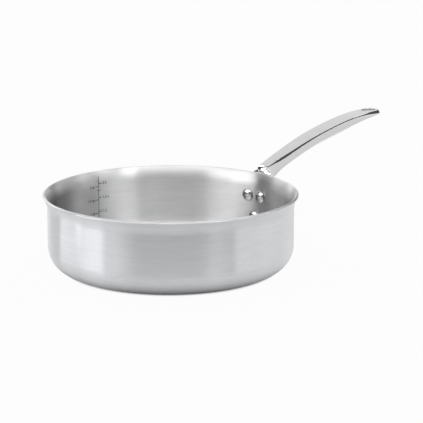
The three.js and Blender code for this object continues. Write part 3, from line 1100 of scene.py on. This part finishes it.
def panel(name, bearing, rise, level, fade, away):
    """Curved studio panel round the object, a distance away in metres.

    Bearings, from the camera's right, and rises are in degrees. The fade is a share of each side.
    """
    points = []
    places = []
    for j in range(PANEL_ROWS + 1):
        lift = math.radians(rise[0] + (rise[1] - rise[0]) * j / PANEL_ROWS)
        for i in range(PANEL_COLUMNS + 1):
            turn = bearing[0] + (bearing[1] - bearing[0]) * i / PANEL_COLUMNS
            turn = math.radians(turn - CAMERA_RIGHT)
            out = away * math.cos(lift)
            points.append((out * math.cos(turn), out * math.sin(turn), away * math.sin(lift)))
            places.append((i / PANEL_COLUMNS, j / PANEL_ROWS))
    faces = []
    row = PANEL_COLUMNS + 1
    for j in range(PANEL_ROWS):
        for i in range(PANEL_COLUMNS):
            corner = j * row + i
            faces.append([corner, corner + 1, corner + row + 1, corner + row])
    card = make(name, [[c / MM for c in p] for p in points], faces)
    uv = card.data.uv_layers.new(name="UVMap")
    for loop in card.data.loops:
        uv.data[loop.index].uv = places[loop.vertex_index]
    card.data.materials.append(glow(name, level, fade))
    card.visible_camera = False
    card.visible_diffuse = False
    card.visible_shadow = False


panel("front_flag", bearing=(209, 326), rise=(-3, 41), level=0.03, fade=(0.06, 0.06), away=4.0)
panel("back_top_flag", bearing=(32, 126), rise=(38, 86), level=0.06, fade=(0.08, 0.08), away=3.9)
panel("right_flag", bearing=(325, 374), rise=(8, 40), level=0.1, fade=(0.1, 0.12), away=3.8)
panel("right_low_flag", bearing=(368, 398), rise=(5, 21), level=0.1, fade=(0.15, 0.15), away=3.79)
panel("tail_flag", bearing=(405, 434), rise=(7, 27), level=0.1, fade=(0.15, 0.15), away=3.78)
panel("left_back_flag", bearing=(126, 179), rise=(-1, 46), level=0.05, fade=(0.08, 0.08), away=3.7)
panel("left_back_fill", bearing=(104, 150), rise=(12, 54), level=1.7, fade=(0.12, 0.2), away=3.61)
panel("backdrop_glow", bearing=(-34, 56), rise=(-1, 9), level=2.1, fade=(0.06, 0.2), away=3.65)
panel("left_back_glow", bearing=(98, 124), rise=(-1, 14), level=1.65, fade=(0.1, 0.2), away=3.65)
panel("left_fade", bearing=(164, 246), rise=(-1, 44), level=0.8, fade=(0.5, 0.08), away=3.64)
panel("left_fade_high", bearing=(184, 239), rise=(14, 42), level=3.7, fade=(0.5, 0.2), away=3.63)
panel("back_grey", bearing=(66, 112), rise=(-2, 54), level=0.83, fade=(0.08, 0.06), away=3.62)
panel("left_softbox", bearing=(177, 207), rise=(-1, 38), level=3.0, fade=(0.02, 0.2), away=3.6)
panel("overhead_softbox", bearing=(202, 342), rise=(40, 76), level=3.1, fade=(0.12, 0.12), away=3.5)
panel("right_strip", bearing=(305, 328), rise=(27, 47), level=4.5, fade=(0.15, 0.2), away=3.4)
panel("right_fill", bearing=(-32, 24), rise=(42, 62), level=1.5, fade=(0.12, 0.15), away=3.42)
panel("right_fill_back", bearing=(-24, 14), rise=(39, 56), level=3.4, fade=(0.15, 0.15), away=3.41)
panel("flare_fill", bearing=(4, 26), rise=(28, 43), level=2.8, fade=(0.2, 0.2), away=3.43)
panel("front_card", bearing=(212, 325), rise=(0, 13), level=0.03, fade=(0.06, 0.2), away=0.40)
panel("left_card", bearing=(173, 202), rise=(0, 15), level=1.8, fade=(0.12, 0.1), away=0.22)
panel("tail_card", bearing=(19, 52), rise=(12, 29), level=0.08, fade=(0.08, 0.1), away=0.55)

world = bpy.data.worlds.new("studio")
bpy.context.scene.world = world
world.use_nodes = True
surround = world.node_tree.nodes["Background"]
surround.inputs["Color"].default_value = (1, 1, 1, 1)
surround.inputs["Strength"].default_value = 1


def pale_floor():
    """Matt grey that keeps a faint shadow, and shows as white when seen and when mirrored, except
    near the base, where the white fades out and leaves a painted darker ring round the contact, on
    top of the real shadow.
    """
    material, tree = new_material("floor")
    matt = tree.nodes["Principled BSDF"]
    matt.inputs["Base Color"].default_value = (FLOOR_GREY, FLOOR_GREY, FLOOR_GREY, 1)
    matt.inputs["Roughness"].default_value = 1
    matt.inputs["Specular IOR Level"].default_value = 0
    white = node(tree, "ShaderNodeEmission", Strength=1.0)
    rays = tree.nodes.new("ShaderNodeLightPath").outputs
    place = node(tree, "ShaderNodeTexCoord").outputs["Object"]
    away = node(tree, "ShaderNodeVectorMath", "LENGTH", i0=place).outputs["Value"]
    glossy = rays["Is Glossy Ray"]
    through_glass = rays["Is Transmission Ray"]
    mirrored = node(tree, "ShaderNodeMath", "ADD", i0=glossy, i1=through_glass).outputs[0]
    shown = []
    for ray, (near, far, most) in (
        (rays["Is Camera Ray"], FLOOR_SEEN),
        (mirrored, FLOOR_MIRRORED),
    ):
        # Near the base the white share falls to nothing. The grey floor there is painted shade
        # round the contact, and its real shadow adds to it.
        clear = ranged(tree, away, near * MM, far * MM, 0, most)
        shown.append(node(tree, "ShaderNodeMath", "MULTIPLY", i0=ray, i1=clear).outputs[0])
    share = node(tree, "ShaderNodeMath", "ADD", i0=shown[0], i1=shown[1]).outputs[0]
    mix = node(tree, "ShaderNodeMixShader", i0=share, i1=matt.outputs[0], i2=white.outputs[0])
    tree.links.new(mix.outputs[0], tree.nodes["Material Output"].inputs["Surface"])
    return material


floor_corners = ((-1, -1), (1, -1), (1, 1), (-1, 1))
floor_points = [(x * FLOOR_REACH, y * FLOOR_REACH, -FLOOR_DROP) for x, y in floor_corners]
floor = make("floor", floor_points, [[0, 1, 2, 3]])
floor.data.materials.append(pale_floor())

bpy.context.scene.view_settings.view_transform = "Standard"
